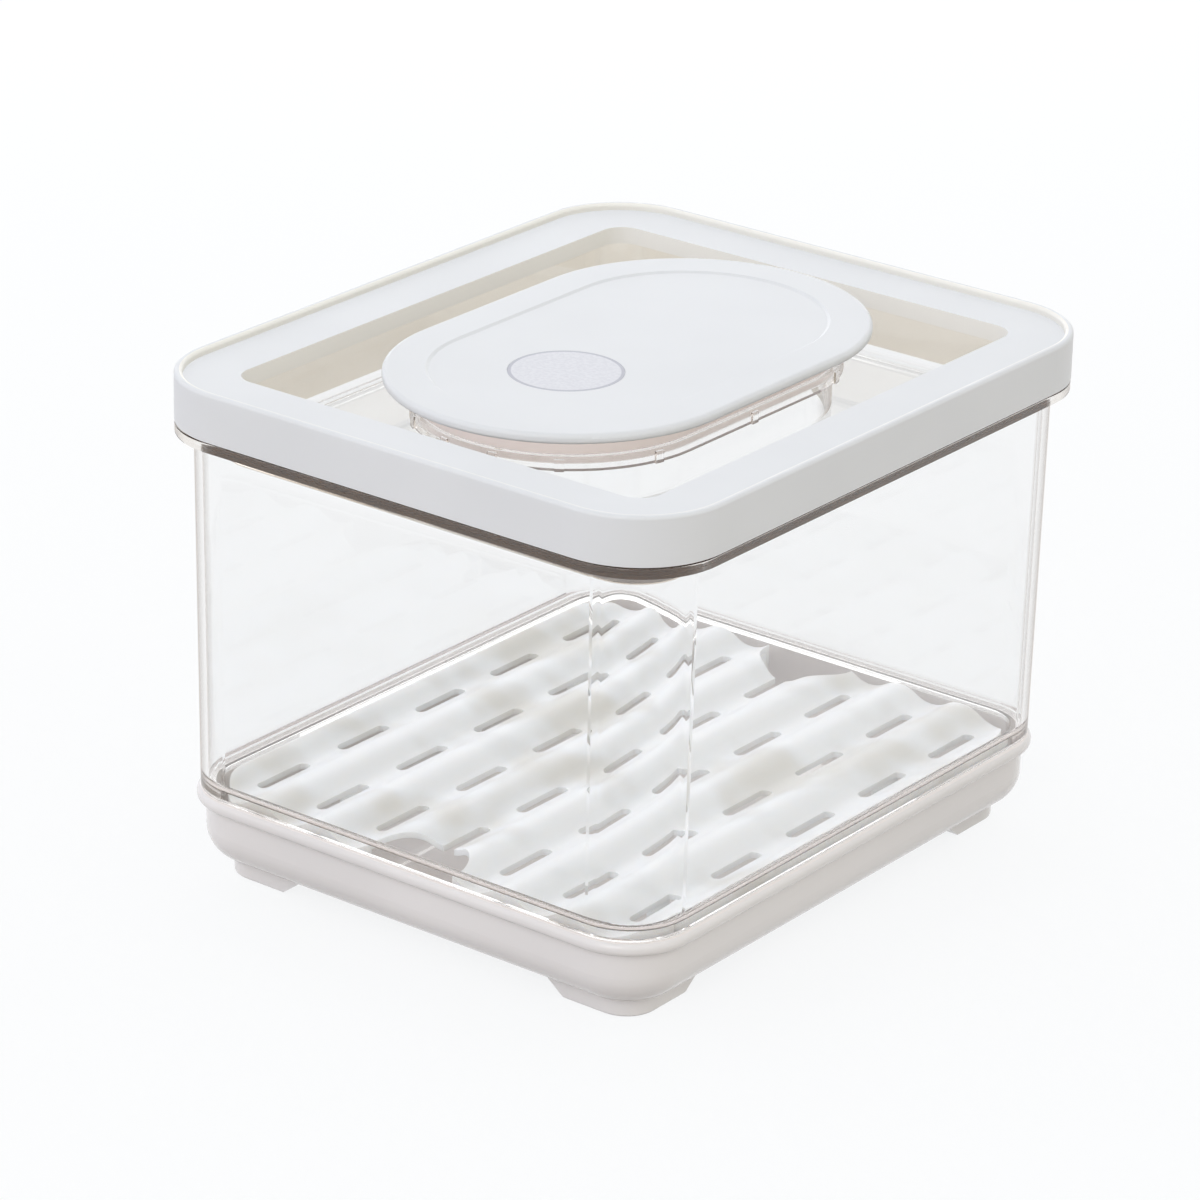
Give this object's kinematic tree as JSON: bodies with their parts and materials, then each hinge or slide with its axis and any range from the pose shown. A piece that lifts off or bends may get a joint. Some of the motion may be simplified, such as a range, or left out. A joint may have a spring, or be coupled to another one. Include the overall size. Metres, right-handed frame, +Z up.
{
  "type": "fridge storage bin",
  "caption": "Clear storage bin on a drip tray, with a corrugated strainer and a framed clear lid whose round-ended hatch lifts off.",
  "frame": {"origin": "centre of the footprint, on the plane that the feet stand on", "axes": "+Z up, +Y along the depth, away from the pictured short side; +X across the width"},
  "size_m": [0.1788, 0.21, 0.1514],
  "materials": {
    "white_gloss": "gloss white moulding",
    "clear_bin": "clear, polished",
    "white_satin": "satin white moulding",
    "white_frame": "fine satin white moulding",
    "clear_lid": "clear, polished",
    "seal_silicone": "matt greige silicone",
    "white_hatch": "fine satin white moulding",
    "badge_grey": "fine satin grey"
  },
  "bodies": {
    "base": {"base_tray": "white_gloss"},
    "bin": {"bin_body": "clear_bin"},
    "strainer": {"strainer": "white_satin"},
    "lid": {"lid_frame": "white_frame", "lid_panel": "clear_lid", "lid_seal": "seal_silicone"},
    "hatch": {"hatch_plate": "white_hatch", "hatch_badge": "badge_grey", "hatch_plug": "white_hatch", "hatch_seal": "seal_silicone"}
  },
  "joints": [
    {"name": "bin_lift", "type": "slide", "parent": "base", "child": "bin", "axis": [0, 0, 1], "range_m": [0, 0.04]},
    {"name": "strainer_lift", "type": "slide", "parent": "bin", "child": "strainer", "axis": [0, 0, 1], "range_m": [0, 0.08]},
    {"name": "lid_lift", "type": "slide", "parent": "bin", "child": "lid", "axis": [0, 0, 1], "range_m": [0, 0.06]},
    {"name": "hatch_lift", "type": "slide", "parent": "lid", "child": "hatch", "axis": [0, 0, 1], "range_m": [0, 0.03]}
  ]
}
